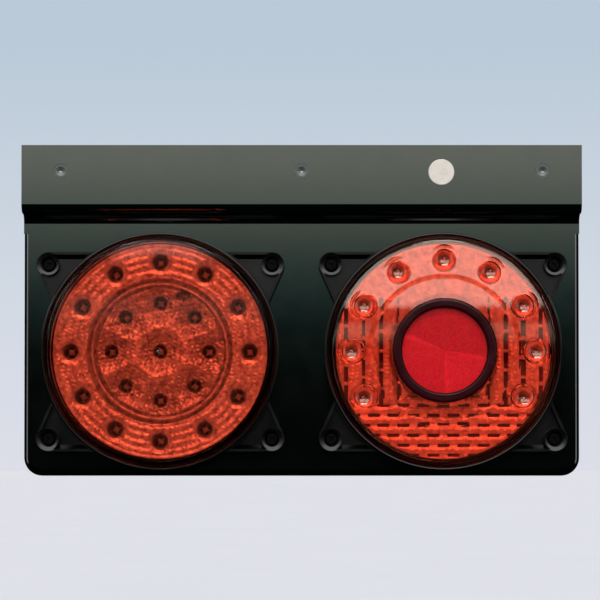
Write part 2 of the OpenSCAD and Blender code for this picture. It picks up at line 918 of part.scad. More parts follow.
// Drop resistors in a row, two smoothing capacitors and the wire terminal
module board_parts() {
    above = board_r / 5;
    below = -board_r / 5;
    capacitor_x = board_r / 4;
    resistor_pitch = 2 * resistor_w;
    for (i = [-2.5:2.5])
        color([0.12, 0.12, 0.13])
            translate([i * resistor_pitch - resistor_w / 2, above, board_back - resistor_t])
                cube([resistor_w, resistor_l, resistor_t]);
    for (side = [-1, 1])
        color([0.2, 0.22, 0.3])
            translate([side * capacitor_x, below / 2, board_back - capacitor_h])
                cylinder(r = capacitor_r, h = capacitor_h);
    color([0.85, 0.85, 0.8])
        translate([-terminal_w / 2, below - terminal_l, board_back - terminal_h])
            cube([terminal_w, terminal_l, terminal_h]);
}

module board_screws() {
    color([0.7, 0.7, 0.72])
        at_posts() {
            translate([0, 0, board_top])
                cylinder(r = board_head_d / 2, h = board_head_h);
            translate([0, 0, board_back - board_screw_l])
                cylinder(r = board_screw_d / 2, h = board_screw_l + board_t + board_head_h / 2);
        }
}

module screws() {
    slot_w = head_d / 8;
    slot_l = head_d / 2;
    slot_d = head_h / 2;
    color([0.2, 0.2, 0.21])
        at_screws() {
            difference() {
                rotate_extrude()
                    polygon(concat(
                        [[0, head_z], [head_d / 2, head_z]],
                        arc([head_d / 2 - head_h / 2, head_z + head_h / 2], head_h / 2, 0, 90, 6),
                        [[0, head_z + head_h]]
                    ));
                for (turn = [45, 135])
                    translate([0, 0, head_z + head_h - slot_d / 2 + cut / 2])
                        rotate([0, 0, turn])
                            cube([slot_l, slot_w, slot_d + cut], center = true);
            }
            translate([0, 0, head_z - screw_l])
                cylinder(r = screw_d / 2, h = screw_l + head_h / 4);
        }
}

module washers() {
    color([0.75, 0.75, 0.74])
        at_screws()
            translate([0, 0, -sheet_t - washer_t])
                difference() {
                    cylinder(r = washer_d / 2, h = washer_t);
                    translate([0, 0, -cut])
                        cylinder(r = hole_r, h = washer_t + 2 * cut);
                }
}

module nuts() {
    corner = nut_w / 2 / cos(30);
    bevel = nut_w / 14;
    color([0.75, 0.75, 0.74])
        at_screws()
            translate([0, 0, -sheet_t - washer_t - nut_t])
                difference() {
                    intersection() {
                        cylinder(r = corner, h = nut_t, $fn = 6);
                        rotate_extrude()
                            polygon([
                                [0, 0], [corner - bevel, 0], [corner, bevel],
                                [corner, nut_t], [0, nut_t]
                            ]);
                    }
                    translate([0, 0, -cut])
                        cylinder(r = screw_d / 2 + nut_room, h = nut_t + 2 * cut);
                }
}

module at_gland() {
    translate([0, -gland_share * bore_r, 0])
        children();
}

module at_vent() {
    translate(polar(vent_share * bore_r, 150))
        children();
}

module cable_gland() {
    lip = 1.5;
    collar = 2;
    barb = 2;
    nose_wall = 1.8;
    nose_z = -cup_back - collar - gland_nose;
    color([0.07, 0.07, 0.07])
        at_gland()
            rotate_extrude()
                polygon([
                    [gland_bore_r, floor_z + lip], [gland_bore_r, nose_z],
                    [gland_bore_r + nose_wall, nose_z],
                    [gland_neck_r + barb / 2, -cup_back - collar],
                    [gland_flange_r, -cup_back - collar], [gland_flange_r, -cup_back],
                    [gland_neck_r, -cup_back], [gland_neck_r, floor_z],
                    [gland_neck_r + barb, floor_z], [gland_neck_r + barb / 2, floor_z + lip]
                ]);
}

module vent_cap() {
    edge = 1;
    color([0.12, 0.12, 0.13])
        at_vent()
            rotate_extrude()
                polygon([
                    [0, floor_z + edge], [0, -cup_back - vent_h],
                    [vent_r - edge, -cup_back - vent_h], [vent_r, edge - cup_back - vent_h],
                    [vent_r, -cup_back], [vent_stem_r, -cup_back],
                    [vent_stem_r, floor_z], [vent_stem_r + edge, floor_z],
                    [vent_stem_r, floor_z + edge]
                ]);
}

module right_reflex_reflector() {
    groove = 0.8;
    color([0.75, 0.05, 0.1])
        at_lamp(1)
            translate([0, 0, reflex_z])
                difference() {
                    cylinder(r = reflex_r, h = reflex_t);
                    for (a = [0, 120, 240])
                        rotate([0, 0, a])
                            translate([0, -groove / 2, -cut])
                                cube([reflex_r + cut, groove, groove + cut]);
                }
}

module right_reflector_bezel() {
    inner = reflex_r + bezel_room;
    crest = lens_top + bezel_rise;
    outer_round = 1.6;
    inner_round = 1.2;
    color([0.1, 0.05, 0.06])
        at_lamp(1)
            rotate_extrude()
                polygon(concat(
                    [[inner - ledge_w, well_z], [bezel_r, well_z]],
                    arc([bezel_r - outer_round, crest - outer_round], outer_round, 0, 90, 6),
                    arc([inner + inner_round, crest - inner_round], inner_round, 90, 180, 6),
                    [[inner, reflex_z], [inner - ledge_w, reflex_z]]
                ));
}

module left_housing() at_lamp(-1) housing();
module left_rear_cup() at_lamp(-1) rear_cup();
module left_gasket() at_lamp(-1) gasket();
module left_lens() color([0.85, 0.2, 0.08, 0.6]) at_lamp(-1) left_lens_shape();
module left_lens_seal() at_lamp(-1) lens_seal();
module left_reflector() color([0.8, 0.8, 0.8]) at_lamp(-1) left_reflector_shape();
module left_circuit_board() at_lamp(-1) circuit_board();
module left_leds() at_lamp(-1) at_left_leds() led();
module left_board_parts() at_lamp(-1) board_parts();
module left_board_screws() at_lamp(-1) board_screws();
module left_screws() at_lamp(-1) screws();
module left_washers() at_lamp(-1) washers();
module left_nuts() at_lamp(-1) nuts();
module left_cable_gland() at_lamp(-1) cable_gland();
module left_vent_cap() at_lamp(-1) vent_cap();
module right_housing() at_lamp(1) housing();
module right_rear_cup() at_lamp(1) rear_cup();
module right_gasket() at_lamp(1) gasket();
module right_lens() color([0.9, 0.22, 0.1, 0.6]) at_lamp(1) right_lens_shape();
module right_lens_seal() at_lamp(1) lens_seal();
module right_reflector() color([0.8, 0.8, 0.8]) at_lamp(1) right_reflector_shape();
module right_circuit_board() at_lamp(1) circuit_board();
module right_leds() at_lamp(1) at_right_leds() led();
module right_board_parts() at_lamp(1) board_parts();
module right_board_screws() at_lamp(1) board_screws();
module right_screws() at_lamp(1) screws();
module right_washers() at_lamp(1) washers();
module right_nuts() at_lamp(1) nuts();
module right_cable_gland() at_lamp(1) cable_gland();
module right_vent_cap() at_lamp(1) vent_cap();

bracket();
mounting_studs();
side_marker();
left_housing();
left_rear_cup();
left_gasket();
left_lens();
left_lens_seal();
left_reflector();
left_circuit_board();
left_leds();
left_board_parts();
left_board_screws();
left_screws();
left_washers();
left_nuts();
left_cable_gland();
left_vent_cap();
right_housing();
right_rear_cup();
right_gasket();
right_lens();
right_lens_seal();
right_reflector();
right_circuit_board();
right_leds();
right_board_parts();
right_board_screws();
right_screws();
right_washers();
right_nuts();
right_cable_gland();
right_vent_cap();
right_reflex_reflector();
right_reflector_bezel();
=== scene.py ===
import bpy
import json
import math
import numpy as np
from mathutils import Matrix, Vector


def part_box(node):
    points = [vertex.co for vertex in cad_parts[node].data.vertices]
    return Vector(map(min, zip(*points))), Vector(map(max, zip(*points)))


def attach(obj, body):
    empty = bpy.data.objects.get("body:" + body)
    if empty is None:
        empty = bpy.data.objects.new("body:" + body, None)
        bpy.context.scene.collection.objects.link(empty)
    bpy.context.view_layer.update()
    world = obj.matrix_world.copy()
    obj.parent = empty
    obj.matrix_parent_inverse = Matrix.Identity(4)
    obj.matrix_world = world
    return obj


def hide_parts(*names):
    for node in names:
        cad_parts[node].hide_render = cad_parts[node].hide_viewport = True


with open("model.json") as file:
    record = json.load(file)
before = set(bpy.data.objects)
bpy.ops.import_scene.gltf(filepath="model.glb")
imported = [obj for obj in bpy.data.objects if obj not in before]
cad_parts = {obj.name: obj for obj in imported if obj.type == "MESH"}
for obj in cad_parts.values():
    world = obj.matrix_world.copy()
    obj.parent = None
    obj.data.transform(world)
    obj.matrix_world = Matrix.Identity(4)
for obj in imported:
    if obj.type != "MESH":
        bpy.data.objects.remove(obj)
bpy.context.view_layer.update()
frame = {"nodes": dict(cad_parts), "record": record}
nodes = frame["nodes"]
scene = bpy.context.scene

# Shader nodes

# Each helper adds nodes to a tree and returns the socket or sockets that hold the result.
# Between these two levels noise goes from its low end to its high end.
NOISE_LOW, NOISE_HIGH = 0.3, 0.7


def calc(tree, operation, *values):
    """A Math node, on numbers or sockets."""
    node = tree.nodes.new("ShaderNodeMath")
    node.operation = operation
    for socket, value in zip(node.inputs, values):
        if isinstance(value, (int, float)):
            socket.default_value = value
        else:
            tree.links.new(value, socket)
    return node.outputs[0]


def coordinates(tree, kind):
    return tree.nodes.new("ShaderNodeTexCoord").outputs[kind]


def split_axes(tree, vector):
    """The X, Y and Z of a vector."""
    node = tree.nodes.new("ShaderNodeSeparateXYZ")
    tree.links.new(vector, node.inputs[0])
    return node.outputs


def noise(tree, scale, detail=3.0):
    """Soft random patches, scale of them in a metre."""
    node = tree.nodes.new("ShaderNodeTexNoise")
    node.inputs["Scale"].default_value = scale
    node.inputs["Detail"].default_value = detail
    node.inputs["Roughness"].default_value = 0.55
    tree.links.new(coordinates(tree, "Object"), node.inputs["Vector"])
    return node.outputs["Fac"]


def colour_stops(tree, fac, stops):
    """A colour ramp; a stop is (position, colour)."""
    node = tree.nodes.new("ShaderNodeValToRGB")
    elements = node.color_ramp.elements
    # a new stop may stand anywhere until the loop below places it
    while len(elements) < len(stops):
        elements.new(0.5)
    for element, (position, colour) in zip(elements, stops):
        element.position = position
        element.color = (*colour, 1)
    tree.links.new(fac, node.inputs["Fac"])
    return node.outputs["Color"]


def grey(level):
    return (level, level, level)


def patches(tree, fac, low, high):
    """Patches of two colours that a noise makes."""
    return colour_stops(tree, fac, ((NOISE_LOW, low), (NOISE_HIGH, high)))


def spread(tree, value, low, high, start=NOISE_LOW, end=NOISE_HIGH, smooth=False):
    """Goes from low to high while value goes from start to end."""
    node = tree.nodes.new("ShaderNodeMapRange")
    if smooth:
        node.interpolation_type = "SMOOTHSTEP"
    node.inputs["From Min"].default_value = start
    node.inputs["From Max"].default_value = end
    node.inputs["To Min"].default_value = low
    node.inputs["To Max"].default_value = high
    tree.links.new(value, node.inputs["Value"])
    return node.outputs["Result"]


def multiplied(tree, a, b):
    """One colour times another."""
    node = tree.nodes.new("ShaderNodeMix")
    node.data_type = "RGBA"
    node.blend_type = "MULTIPLY"
    node.inputs["Factor"].default_value = 1.0
    tree.links.new(a, node.inputs["A"])
    tree.links.new(b, node.inputs["B"])
    return node.outputs["Result"]


def bump(tree, height, strength, distance):
    node = tree.nodes.new("ShaderNodeBump")
    node.inputs["Strength"].default_value = strength
    node.inputs["Distance"].default_value = distance
    tree.links.new(height, node.inputs["Height"])
    return node.outputs["Normal"]


# Materials


def new_material(name):
    """A material, its node tree and the Principled shader in it."""
    mat = bpy.data.materials.new(name)
    mat.use_nodes = True
    tree = mat.node_tree
    tree.nodes.clear()
    out = tree.nodes.new("ShaderNodeOutputMaterial")
    bsdf = tree.nodes.new("ShaderNodeBsdfPrincipled")
    tree.links.new(bsdf.outputs["BSDF"], out.inputs["Surface"])
    return mat, tree, bsdf


def surface(name, low, high, rough, grain=900.0, grain_depth=0.00005, grain_strength=0.25,
            blotch=60.0, **fixed):
    """Varies from one colour and roughness to another in broad patches, with a fine grain.

    blotch and grain are patches in a metre, and fixed holds the shader's own sockets, as Specular_Tint."""
    mat, tree, bsdf = new_material(name)
    broad = noise(tree, blotch)
    tree.links.new(patches(tree, broad, low, high), bsdf.inputs["Base Color"])
    tree.links.new(spread(tree, broad, *rough), bsdf.inputs["Roughness"])
    fine = noise(tree, grain, detail=2.0)
    tree.links.new(bump(tree, fine, grain_strength, grain_depth), bsdf.inputs["Normal"])
    for socket, value in fixed.items():
        bsdf.inputs[socket.replace("_", " ")].default_value = value
    return mat


# the stretch of Y over which a reflector's painted shade, darker deeper in, changes, in metres
PAINTED_SHADE_START, PAINTED_SHADE_END = -0.005, 0.025
REFLECTOR_METAL = 0.3
REFLECTOR_GRAIN = 420


def reflector_material(name, rough, mottle, painted_shades, dark, light, relief):
    """A pale lacquered moulding with painted shade that darkens it inward, down the cups; a painted shade
    is (Y in metres, level).
    """
    mat, tree, bsdf = new_material(name)
    y = split_axes(tree, coordinates(tree, "Object"))["Y"]
    place = spread(tree, y, 0.0, 1.0, PAINTED_SHADE_START, PAINTED_SHADE_END)
    span = PAINTED_SHADE_END - PAINTED_SHADE_START
    # painted shade: the deeper a point lies behind the face, the darker its colour
    painted_shade = colour_stops(tree, place, [((at - PAINTED_SHADE_START) / span, grey(level)) for at, level in painted_shades])
    broad = noise(tree, mottle)
    mottled = patches(tree, broad, dark, light)
    tree.links.new(multiplied(tree, mottled, painted_shade), bsdf.inputs["Base Color"])
    tree.links.new(spread(tree, broad, *rough), bsdf.inputs["Roughness"])
    grain = noise(tree, REFLECTOR_GRAIN, detail=2.0)
    tree.links.new(bump(tree, grain, *relief), bsdf.inputs["Normal"])
    bsdf.inputs["Metallic"].default_value = REFLECTOR_METAL
    return mat


PRISMS = 900
# red of the prism cells, painted lighter in their middles and darker at their edges
PRISM_MIDDLE_LIT, PRISM_EDGE_SHADED = (0.49, 0.007, 0.012), (0.34, 0.005, 0.0085)


def prismatic_red(name, centre, sector_shading):
    """Clear red with fine cells behind it, laid in three sectors; a stop is (turn, level).

    The cells are painted lighter in their middles, and each sector is painted a shade of its own. Turns go
    from 0 straight up, clockwise, to 1. A lighter line, a painted highlight, parts each sector from the
    next."""
    mat, tree, bsdf = new_material(name)
    place = coordinates(tree, "Object")
    x, _, z = split_axes(tree, place)
    across = calc(tree, "SUBTRACT", x, centre[0])
    up = calc(tree, "SUBTRACT", z, centre[1])
    turn = calc(tree, "DIVIDE", calc(tree, "ARCTAN2", across, up), 2 * math.pi)
    turn = calc(tree, "FRACT", calc(tree, "ADD", turn, 1.0))
    level = colour_stops(tree, turn, [(at, grey(value)) for at, value in sector_shading])
    cells = tree.nodes.new("ShaderNodeTexVoronoi")
    cells.inputs["Scale"].default_value = PRISMS
    tree.links.new(place, cells.inputs["Vector"])
    from_middle = cells.outputs["Distance"]
    red = colour_stops(tree, from_middle, ((0.1, PRISM_MIDDLE_LIT), (0.8, PRISM_EDGE_SHADED)))
    tree.links.new(multiplied(tree, red, level), bsdf.inputs["Base Color"])
    tree.links.new(spread(tree, noise(tree, scale=300), low=0.1, high=0.18), bsdf.inputs["Roughness"])
    tree.links.new(bump(tree, from_middle, strength=0.15, distance=0.0001), bsdf.inputs["Normal"])
    bsdf.inputs["Specular IOR Level"].default_value = 0.3
    return mat


# X and Z in metres
REFLEX_CENTRE = (0.085, -0.1081)

# one entry for each material slot of the record, and two more for the right reflector: its moulding, and
# painted shade for its gaps and slots
materials = {
    "bracket_paint": surface(
        "satin_black_paint", (0.0002, 0.0004, 0.0004), (0.0004, 0.0006, 0.0006), (0.075, 0.095),
        grain=700, grain_depth=0.00002, grain_strength=0.06, IOR=2.0),
    "stud_steel": surface(
        "painted_stud", (0.0006, 0.0008, 0.0008), (0.001, 0.0014, 0.0013), (0.3, 0.34),
        grain=700, grain_depth=0.00002, grain_strength=0.06, IOR=1.9),
    "marker_white": surface(
        "white_enamel", (0.435, 0.39, 0.35), (0.49, 0.44, 0.4), (0.25, 0.35), blotch=200),
    "housing_black": surface(
        "black_moulding", (0.0006, 0.0004, 0.0005), (0.0010, 0.0007, 0.0008), (0.2, 0.28),
        grain=1500, grain_strength=0.08, IOR=1.5, Specular_IOR_Level=0.3),
    "gasket_foam": surface(
        "foam_rubber", (0.01, 0.01, 0.01), (0.02, 0.02, 0.02), (0.85, 0.95),
        grain=1800, grain_strength=0.8, grain_depth=0.0002),
    "seal_rubber": surface(
        "seal_rubber", (0.012, 0.006, 0.006), (0.02, 0.01, 0.01), (0.6, 0.7)),
    "reflector_plastic": reflector_material(
        "lacquered_moulding_left", rough=(0.1, 0.17), mottle=340,
        # painted shade, darker down the cups
        painted_shades=((0.0, 1.0), (0.0024, 0.95), (0.0044, 0.6), (0.0056, 0.5), (0.0072, 0.25)),
        dark=(0.34, 0.28, 0.28), light=(0.93, 0.92, 0.92), relief=(0.6, 0.0005)),
    "reflector_right": reflector_material(
        "lacquered_moulding_right", rough=(0.12, 0.2), mottle=300,
        # painted shade, a little darker down the cups
        painted_shades=((0.0, 1.0), (0.0026, 1.0), (0.0064, 0.95), (0.012, 0.8)),
        dark=(0.5, 0.46, 0.46), light=(0.97, 0.97, 0.97), relief=(0.5, 0.0004)),
    # painted shade: dark maroon in the right reflector's gaps and slots, where shade falls
    "reflector_gap_shade": surface(
        "shaded_gap", (0.09, 0.008, 0.012), (0.16, 0.014, 0.02), (0.3, 0.4)),
    "board_green": surface(
        "solder_mask", (0.01, 0.06, 0.025), (0.02, 0.1, 0.04), (0.3, 0.4)),
    "led_resin": surface(
        "light_source_resin", (0.78, 0.74, 0.66), (0.88, 0.84, 0.76), (0.1, 0.2)),
    "part_black": surface(
        "component_body", (0.015, 0.015, 0.017), (0.03, 0.03, 0.032), (0.4, 0.5)),
    "screw_black": surface(
        "blackened_screw", (0.0003, 0.0003, 0.0004), (0.0008, 0.0008, 0.0009), (0.35, 0.45),
        Specular_IOR_Level=0.05),
    "zinc_steel": surface(
        "zinc_plate", (0.5, 0.5, 0.48), (0.66, 0.66, 0.62), (0.25, 0.4), Metallic=1.0),
    "gland_rubber": surface(
        "gland_rubber", (0.008, 0.008, 0.008), (0.016, 0.016, 0.016), (0.6, 0.75)),
    "vent_plastic": surface(
        "vent_moulding", (0.02, 0.02, 0.022), (0.03, 0.03, 0.033), (0.45, 0.55)),
    "reflex_red": prismatic_red(
        "reflex_red", REFLEX_CENTRE,
        # sector levels: painted shade of the prism facets, with painted highlight lines between the sectors
        ((0.265, 0.78), (0.28, 1.15), (0.295, 1.0), (0.475, 1.05), (0.49, 1.3), (0.505, 0.92),
         (0.795, 0.95), (0.81, 1.3), (0.825, 0.78))),
    "bezel_dark": surface(
        "bezel_dark", (0.012, 0.0004, 0.0012), (0.018, 0.0006, 0.002), (0.2, 0.3),
        Specular_IOR_Level=0.12),
    "lens_left": surface(
        "orange_red_lens_left", (0.86, 0.27, 0.18), (0.88, 0.305, 0.205), (0.02, 0.05),
        grain=120, grain_depth=0.0001, grain_strength=0.05,
        Transmission_Weight=1.0, IOR=1.5, Specular_Tint=(0.2, 0.2, 0.2, 1)),
    "lens_right": surface(
        "orange_red_lens_right", (0.98, 0.235, 0.145), (0.99, 0.265, 0.17), (0.02, 0.05),
        grain=120, grain_depth=0.0001, grain_strength=0.05,
        Transmission_Weight=1.0, IOR=1.5, Specular_Tint=(1.0, 0.88, 0.78, 1)),
}

slots = {s["node"]: s["material_slot"] for s in frame["record"]["subparts"]}
for name, obj in nodes.items():
    for slot in obj.material_slots:
        slot.material = materials[slots[name]]

# Reflector mouldings

# Sizes are in millimetres, u to the right and v up from the lamp's centre. Heights are towards the
# viewer from PLATE_Y, which is in metres.
PER_METRE = 1000
PLATE_Y = 0.012
FACE_Z, SEAT_Z, FOOT_Z = 10.0, 5.5, -1.5
FACE_R, SEAT_R, RIM_W = 64.3, 60.0, 1.0
FACE_T, CUP_T = 1.6, 0.6
HOLE_R = 2.4
# grid of the meshes: its step, and how near to a circle a point moves onto it, as a share of the step
STEP = 0.6
SNAP = 0.52
SLACK, TINY = 0.001, 1e-6


def polar(r, degrees):
    return r * math.cos(math.radians(degrees)), r * math.sin(math.radians(degrees))


def cap_radius(r, depth):
    """Radius of the ball whose cap is r in radius and depth deep."""
    return (r * r + depth * depth) / (2 * depth)


def smooth(x, low, high):
    """0 below low, 1 above high, smooth between."""
    t = np.clip((x - low) / (high - low), 0, 1)
    return t * t * (3 - 2 * t)


def bowl(d, r, depth, reach):
    """Height of a bowl in the face at distance d from its middle, level past reach."""
    ball = cap_radius(r, depth)
    return FACE_Z - depth + ball - np.sqrt(ball ** 2 - np.minimum(d, reach) ** 2)


def cup(h, d, mouth_r, mouth_z):
    """Sinks a tapered cup of the solid's form into the heights h."""
    wall = FOOT_Z + (d - HOLE_R) * (mouth_z - FOOT_Z) / (mouth_r - HOLE_R)
    return np.where(d < mouth_r, np.minimum(h, wall), h)


def lively(u, v):
    """An even, small unevenness of the moulding, that breaks up what it mirrors.

    The waves are in radians a millimetre."""
    coarse = np.sin(2.1 * u + 0.6 * v) * np.sin(1.9 * v - 0.7 * u + 1.3)
    fine = np.sin(1.3 * u - 1.1 * v + 0.4) * np.cos(1.5 * v + 0.9 * u)
    return coarse + 0.7 * fine


def circles(places, r):
    return [(cu, cv, r) for cu, cv in places]


def snapped_grid(reach, kept_circles):
    """The places of a square grid's points, with those near a circle moved onto it."""
    n = math.ceil(reach / STEP) + 1
    axis = np.arange(-n, n + 1) * STEP
    u, v = np.meshgrid(axis, axis, indexing="ij")
    for cu, cv, r in kept_circles:
        d = np.maximum(np.hypot(u - cu, v - cv), TINY)
        grow = np.where(np.abs(d - r) < SNAP * STEP, r / d, 1.0)
        u, v = cu + (u - cu) * grow, cv + (v - cv) * grow
    return u, v


def grid_faces(keep):
    """Faces between the kept points of a grid, each point by its number among the kept."""
    index = -np.ones(keep.shape, int)
    index[keep] = np.arange(keep.sum())
    faces = []
    for i in range(keep.shape[0] - 1):
        for j in range(keep.shape[1] - 1):
            corners = [index[i, j], index[i + 1, j], index[i + 1, j + 1], index[i, j + 1]]
            corners = [int(c) for c in corners if c >= 0]
            if len(corners) > 2:
                faces.append(corners)
    return faces


def open_edges(faces):
    """The edges that only one face has."""
    alone = {}
    for face in faces:
        for a, b in zip(face, face[1:] + face[:1]):
            alone[(a, b)] = (b, a) not in alone
            if not alone[(a, b)]:
                alone[(b, a)] = False
    return [edge for edge, is_alone in alone.items() if is_alone]


def moulded_face(name, node, slot, height, rims, holes, gaps=None):
    """A closed moulding in a node's place, height(u, v) high; rims and holes are circles (u, v, r).

    gaps(u, v, h) says which points lie in gaps, which take a material of their own, a painted shade."""
    low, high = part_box(node)
    mid_x, mid_z = (low[0] + high[0]) / 2, (low[2] + high[2]) / 2
    reach = (high[0] - low[0]) / 2 * PER_METRE
    u, v = snapped_grid(reach, [(0, 0, reach)] + rims + holes)
    keep = np.hypot(u, v) < reach + SLACK
    for cu, cv, r in holes:
        keep &= np.hypot(u - cu, v - cv) > r - SLACK
    front = height(u, v)
    wall = np.where(front > SEAT_Z, FACE_T, CUP_T)
    back = np.where(np.hypot(u, v) > SEAT_R, SEAT_Z, front - wall)
    points = [(mid_x + a / PER_METRE, PLATE_Y - h / PER_METRE, mid_z + b / PER_METRE)
              for heights in (front, back) for a, b, h in zip(u[keep], v[keep], heights[keep])]
    count = int(keep.sum())
    fronts = grid_faces(keep)
    backs = [[c + count for c in reversed(face)] for face in fronts]
    sides = [(b, a, a + count, b + count) for a, b in open_edges(fronts)]

    mesh = bpy.data.meshes.new(name)
    mesh.from_pydata(points, [], fronts + backs + sides)
    mesh.validate()
    mesh.polygons.foreach_set("use_smooth", [True] * (2 * len(fronts)) + [False] * len(sides))
    mesh.materials.append(materials[slot])
    if gaps:
        mesh.materials.append(materials["reflector_gap_shade"])
        sunk = gaps(u, v, front)[keep]
        for polygon, face in zip(mesh.polygons, fronts):
            polygon.material_index = int(any(sunk[c] for c in face))
    piece = bpy.data.objects.new(name, mesh)
    scene.collection.objects.link(piece)
    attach(piece, "root")
    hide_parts(node)


# Left reflector: nine dishes inside two ring grooves, and twelve small ones among ribs round them

# circles that the lights stand on
LEFT_OUTER_R, LEFT_INNER_R = 53.8, 29.29
LEFT_OUTER = [polar(LEFT_OUTER_R, 90 + 30 * i) for i in range(12)]
LEFT_INNER = [(0.0, 0.0)] + [polar(LEFT_INNER_R, 90 + 45 * i) for i in range(8)]
DISH_R, DISH_DEPTH, DISH_REACH, DISH_TURN = 14.53, 3.6, 20.0, 1.7
OUTER_DISH_R, OUTER_DISH_DEPTH = 7.9, 2.2
INNER_CUP_R, LEFT_CUP_R = 4.2, 5.2
# the dished middle
BLOCK_R = 37.4
GROOVE_RS, GROOVE_DEPTH, GROOVE_W = (38.4, 42.3), 3.4, 0.95
RIB_R, RIB_PITCH, RIB_H, RIB_DROP = 47.0, 4.5, 0.34, 0.2
RIBS_START, RIBS_END = (43.5, 45.5), (61.5, 63.5)
# petals round each light of a dish, and rings that wind among them
PETALS, PETAL_H, PETAL_TWIST, PETALS_START = 7, 0.3, 0.25, (4.5, 8)
RING_H, RING_PITCH, RING_TURNS, RINGS_START = 0.14, 3.4, 3, (4.5, 6)
NOTCH, NOTCH_HALF_W, NOTCH_HALF_H, NOTCH_DEPTH = polar(36.0, 68), 4.2, 2.8, 5.6
DISH_UNEVEN, LEFT_UNEVEN = 0.34, 0.2


def dished(u, v):
    """Nine dishes that run into each other, each with a cup in its middle."""
    d = np.full(u.shape, np.inf)
    angle = np.zeros(u.shape)
    for i, (cu, cv) in enumerate(LEFT_INNER):
        near = np.hypot(u - cu, v - cv)
        angle = np.where(near < d, np.arctan2(v - cv, u - cu) + DISH_TURN * i, angle)
        d = np.minimum(d, near)
    petals = PETAL_H * np.cos(PETALS * angle + PETAL_TWIST * d) * smooth(d, *PETALS_START)
    rings = RING_H * np.cos(2 * math.pi * d / RING_PITCH + RING_TURNS * angle) * smooth(d, *RINGS_START)
    dish = bowl(d, DISH_R, DISH_DEPTH, DISH_REACH) + (petals + rings)
    return cup(np.minimum(FACE_Z, dish), d, INNER_CUP_R, FACE_Z - DISH_DEPTH)


def left_height(u, v):
    r = np.hypot(u, v)
    ribs = RIB_H * np.cos(2 * math.pi * (r - RIB_R) / RIB_PITCH) - RIB_DROP
    h = FACE_Z + ribs * smooth(r, *RIBS_START) * (1 - smooth(r, *RIBS_END))
    for ring_r in GROOVE_RS:
        h = h - GROOVE_DEPTH * np.exp(-((r - ring_r) / GROOVE_W) ** 2)
    h = np.where(r < BLOCK_R, dished(u, v), h)
    # the notch between the top dish and the next one clockwise
    in_notch = ((u - NOTCH[0]) / NOTCH_HALF_W) ** 2 + ((v - NOTCH[1]) / NOTCH_HALF_H) ** 2 < 1
    h = np.where(in_notch, np.minimum(h, FACE_Z - NOTCH_DEPTH), h)
    uneven = np.where(r < BLOCK_R, DISH_UNEVEN, LEFT_UNEVEN) * lively(u, v)
    h = h + uneven * (1 - smooth(r, *RIBS_END))
    for cu, cv in LEFT_OUTER:
        near = np.hypot(u - cu, v - cv)
        dish = bowl(near, OUTER_DISH_R, OUTER_DISH_DEPTH, OUTER_DISH_R)
        h = np.where(near < OUTER_DISH_R, np.minimum(h, dish), h)
        h = cup(h, near, LEFT_CUP_R, FACE_Z)
    return h


moulded_face("left_reflector_face", "left_reflector", "reflector_plastic", left_height,
             circles(LEFT_INNER, INNER_CUP_R) + circles(LEFT_OUTER, OUTER_DISH_R),
             circles(LEFT_INNER + LEFT_OUTER, HOLE_R))

# Right reflector: upright flutes beside the reflex reflector, and rows below it

# nine of the twelve places on a circle, with none at the bottom
RIGHT_CIRCLE_R = 55.2
RIGHT_CUPS = [polar(RIGHT_CIRCLE_R, 90 + 30 * i) for i in range(-4, 5)]
RIGHT_CUP_R, RIGHT_DISH_R, RIGHT_DISH_DEPTH = 4.8, 7.9, 1.5
FLUTE_W, FLUTE_RISE, FLUTE_REACH = 10.6, 1.8, 32.0
FLUTE_WAVE_H, FLUTE_WAVE_PITCH, FLUTE_WAVE_SHIFT = 0.03, 5.1, 2.1
FLUTE_GAP, GAP_DEPTH, GAP_SLACK = 1.8, 2.4, 0.01
# short bridges across the gaps
BRIDGE_L, BRIDGE_PITCH, BRIDGE_SHIFT = 2.6, 11.5, 4.1
# round the bezel there are no flutes
CLEAR_R = 31.0
ROW_H, ROW_RISE, ROW_WAVE_H, ROW_WAVE_PITCH, ROW_WAVE_SHIFT = 6.0, 0.7, 0.08, 4.3, 1.9
SLOT_L, SLOT_W, SLOT_PITCH = 6.6, 1.1, 11.9
# straight below the bezel the rows start higher
ROWS_TOP, ROWS_HALF_W = 26.0, 26.5
FLUTE_UNEVEN, ROW_UNEVEN, UNEVEN_TOP = 0.16, 0.14, 10


def flutes(u, v):
    """Height of the flat face and the flutes, with the gaps between them."""
    number = np.round(u / FLUTE_W)
    across = u - FLUTE_W * number
    rod_r = cap_radius(FLUTE_W / 2, FLUTE_RISE)
    rod = FACE_Z + FLUTE_RISE - rod_r + np.sqrt(rod_r ** 2 - across ** 2)
    rod = rod + FLUTE_WAVE_H * np.cos(2 * math.pi * (v + FLUTE_WAVE_SHIFT * number) / FLUTE_WAVE_PITCH)
    clear = np.where(v < 0, np.hypot(u, v), np.abs(number) * FLUTE_W) > CLEAR_R
    fluted = (np.abs(v) < FLUTE_REACH) & clear
    h = np.where(fluted, rod, FACE_Z)
    h = h + FLUTE_UNEVEN * lively(u, v) * (v < UNEVEN_TOP)
    gap = np.abs(np.abs(across) - FLUTE_W / 2) < FLUTE_GAP / 2
    gap_number = np.round(np.abs(u) / FLUTE_W - 0.5)
    gap &= (v + BRIDGE_SHIFT * gap_number) % BRIDGE_PITCH > BRIDGE_L
    return np.where(fluted & gap, FACE_Z - GAP_DEPTH, h)


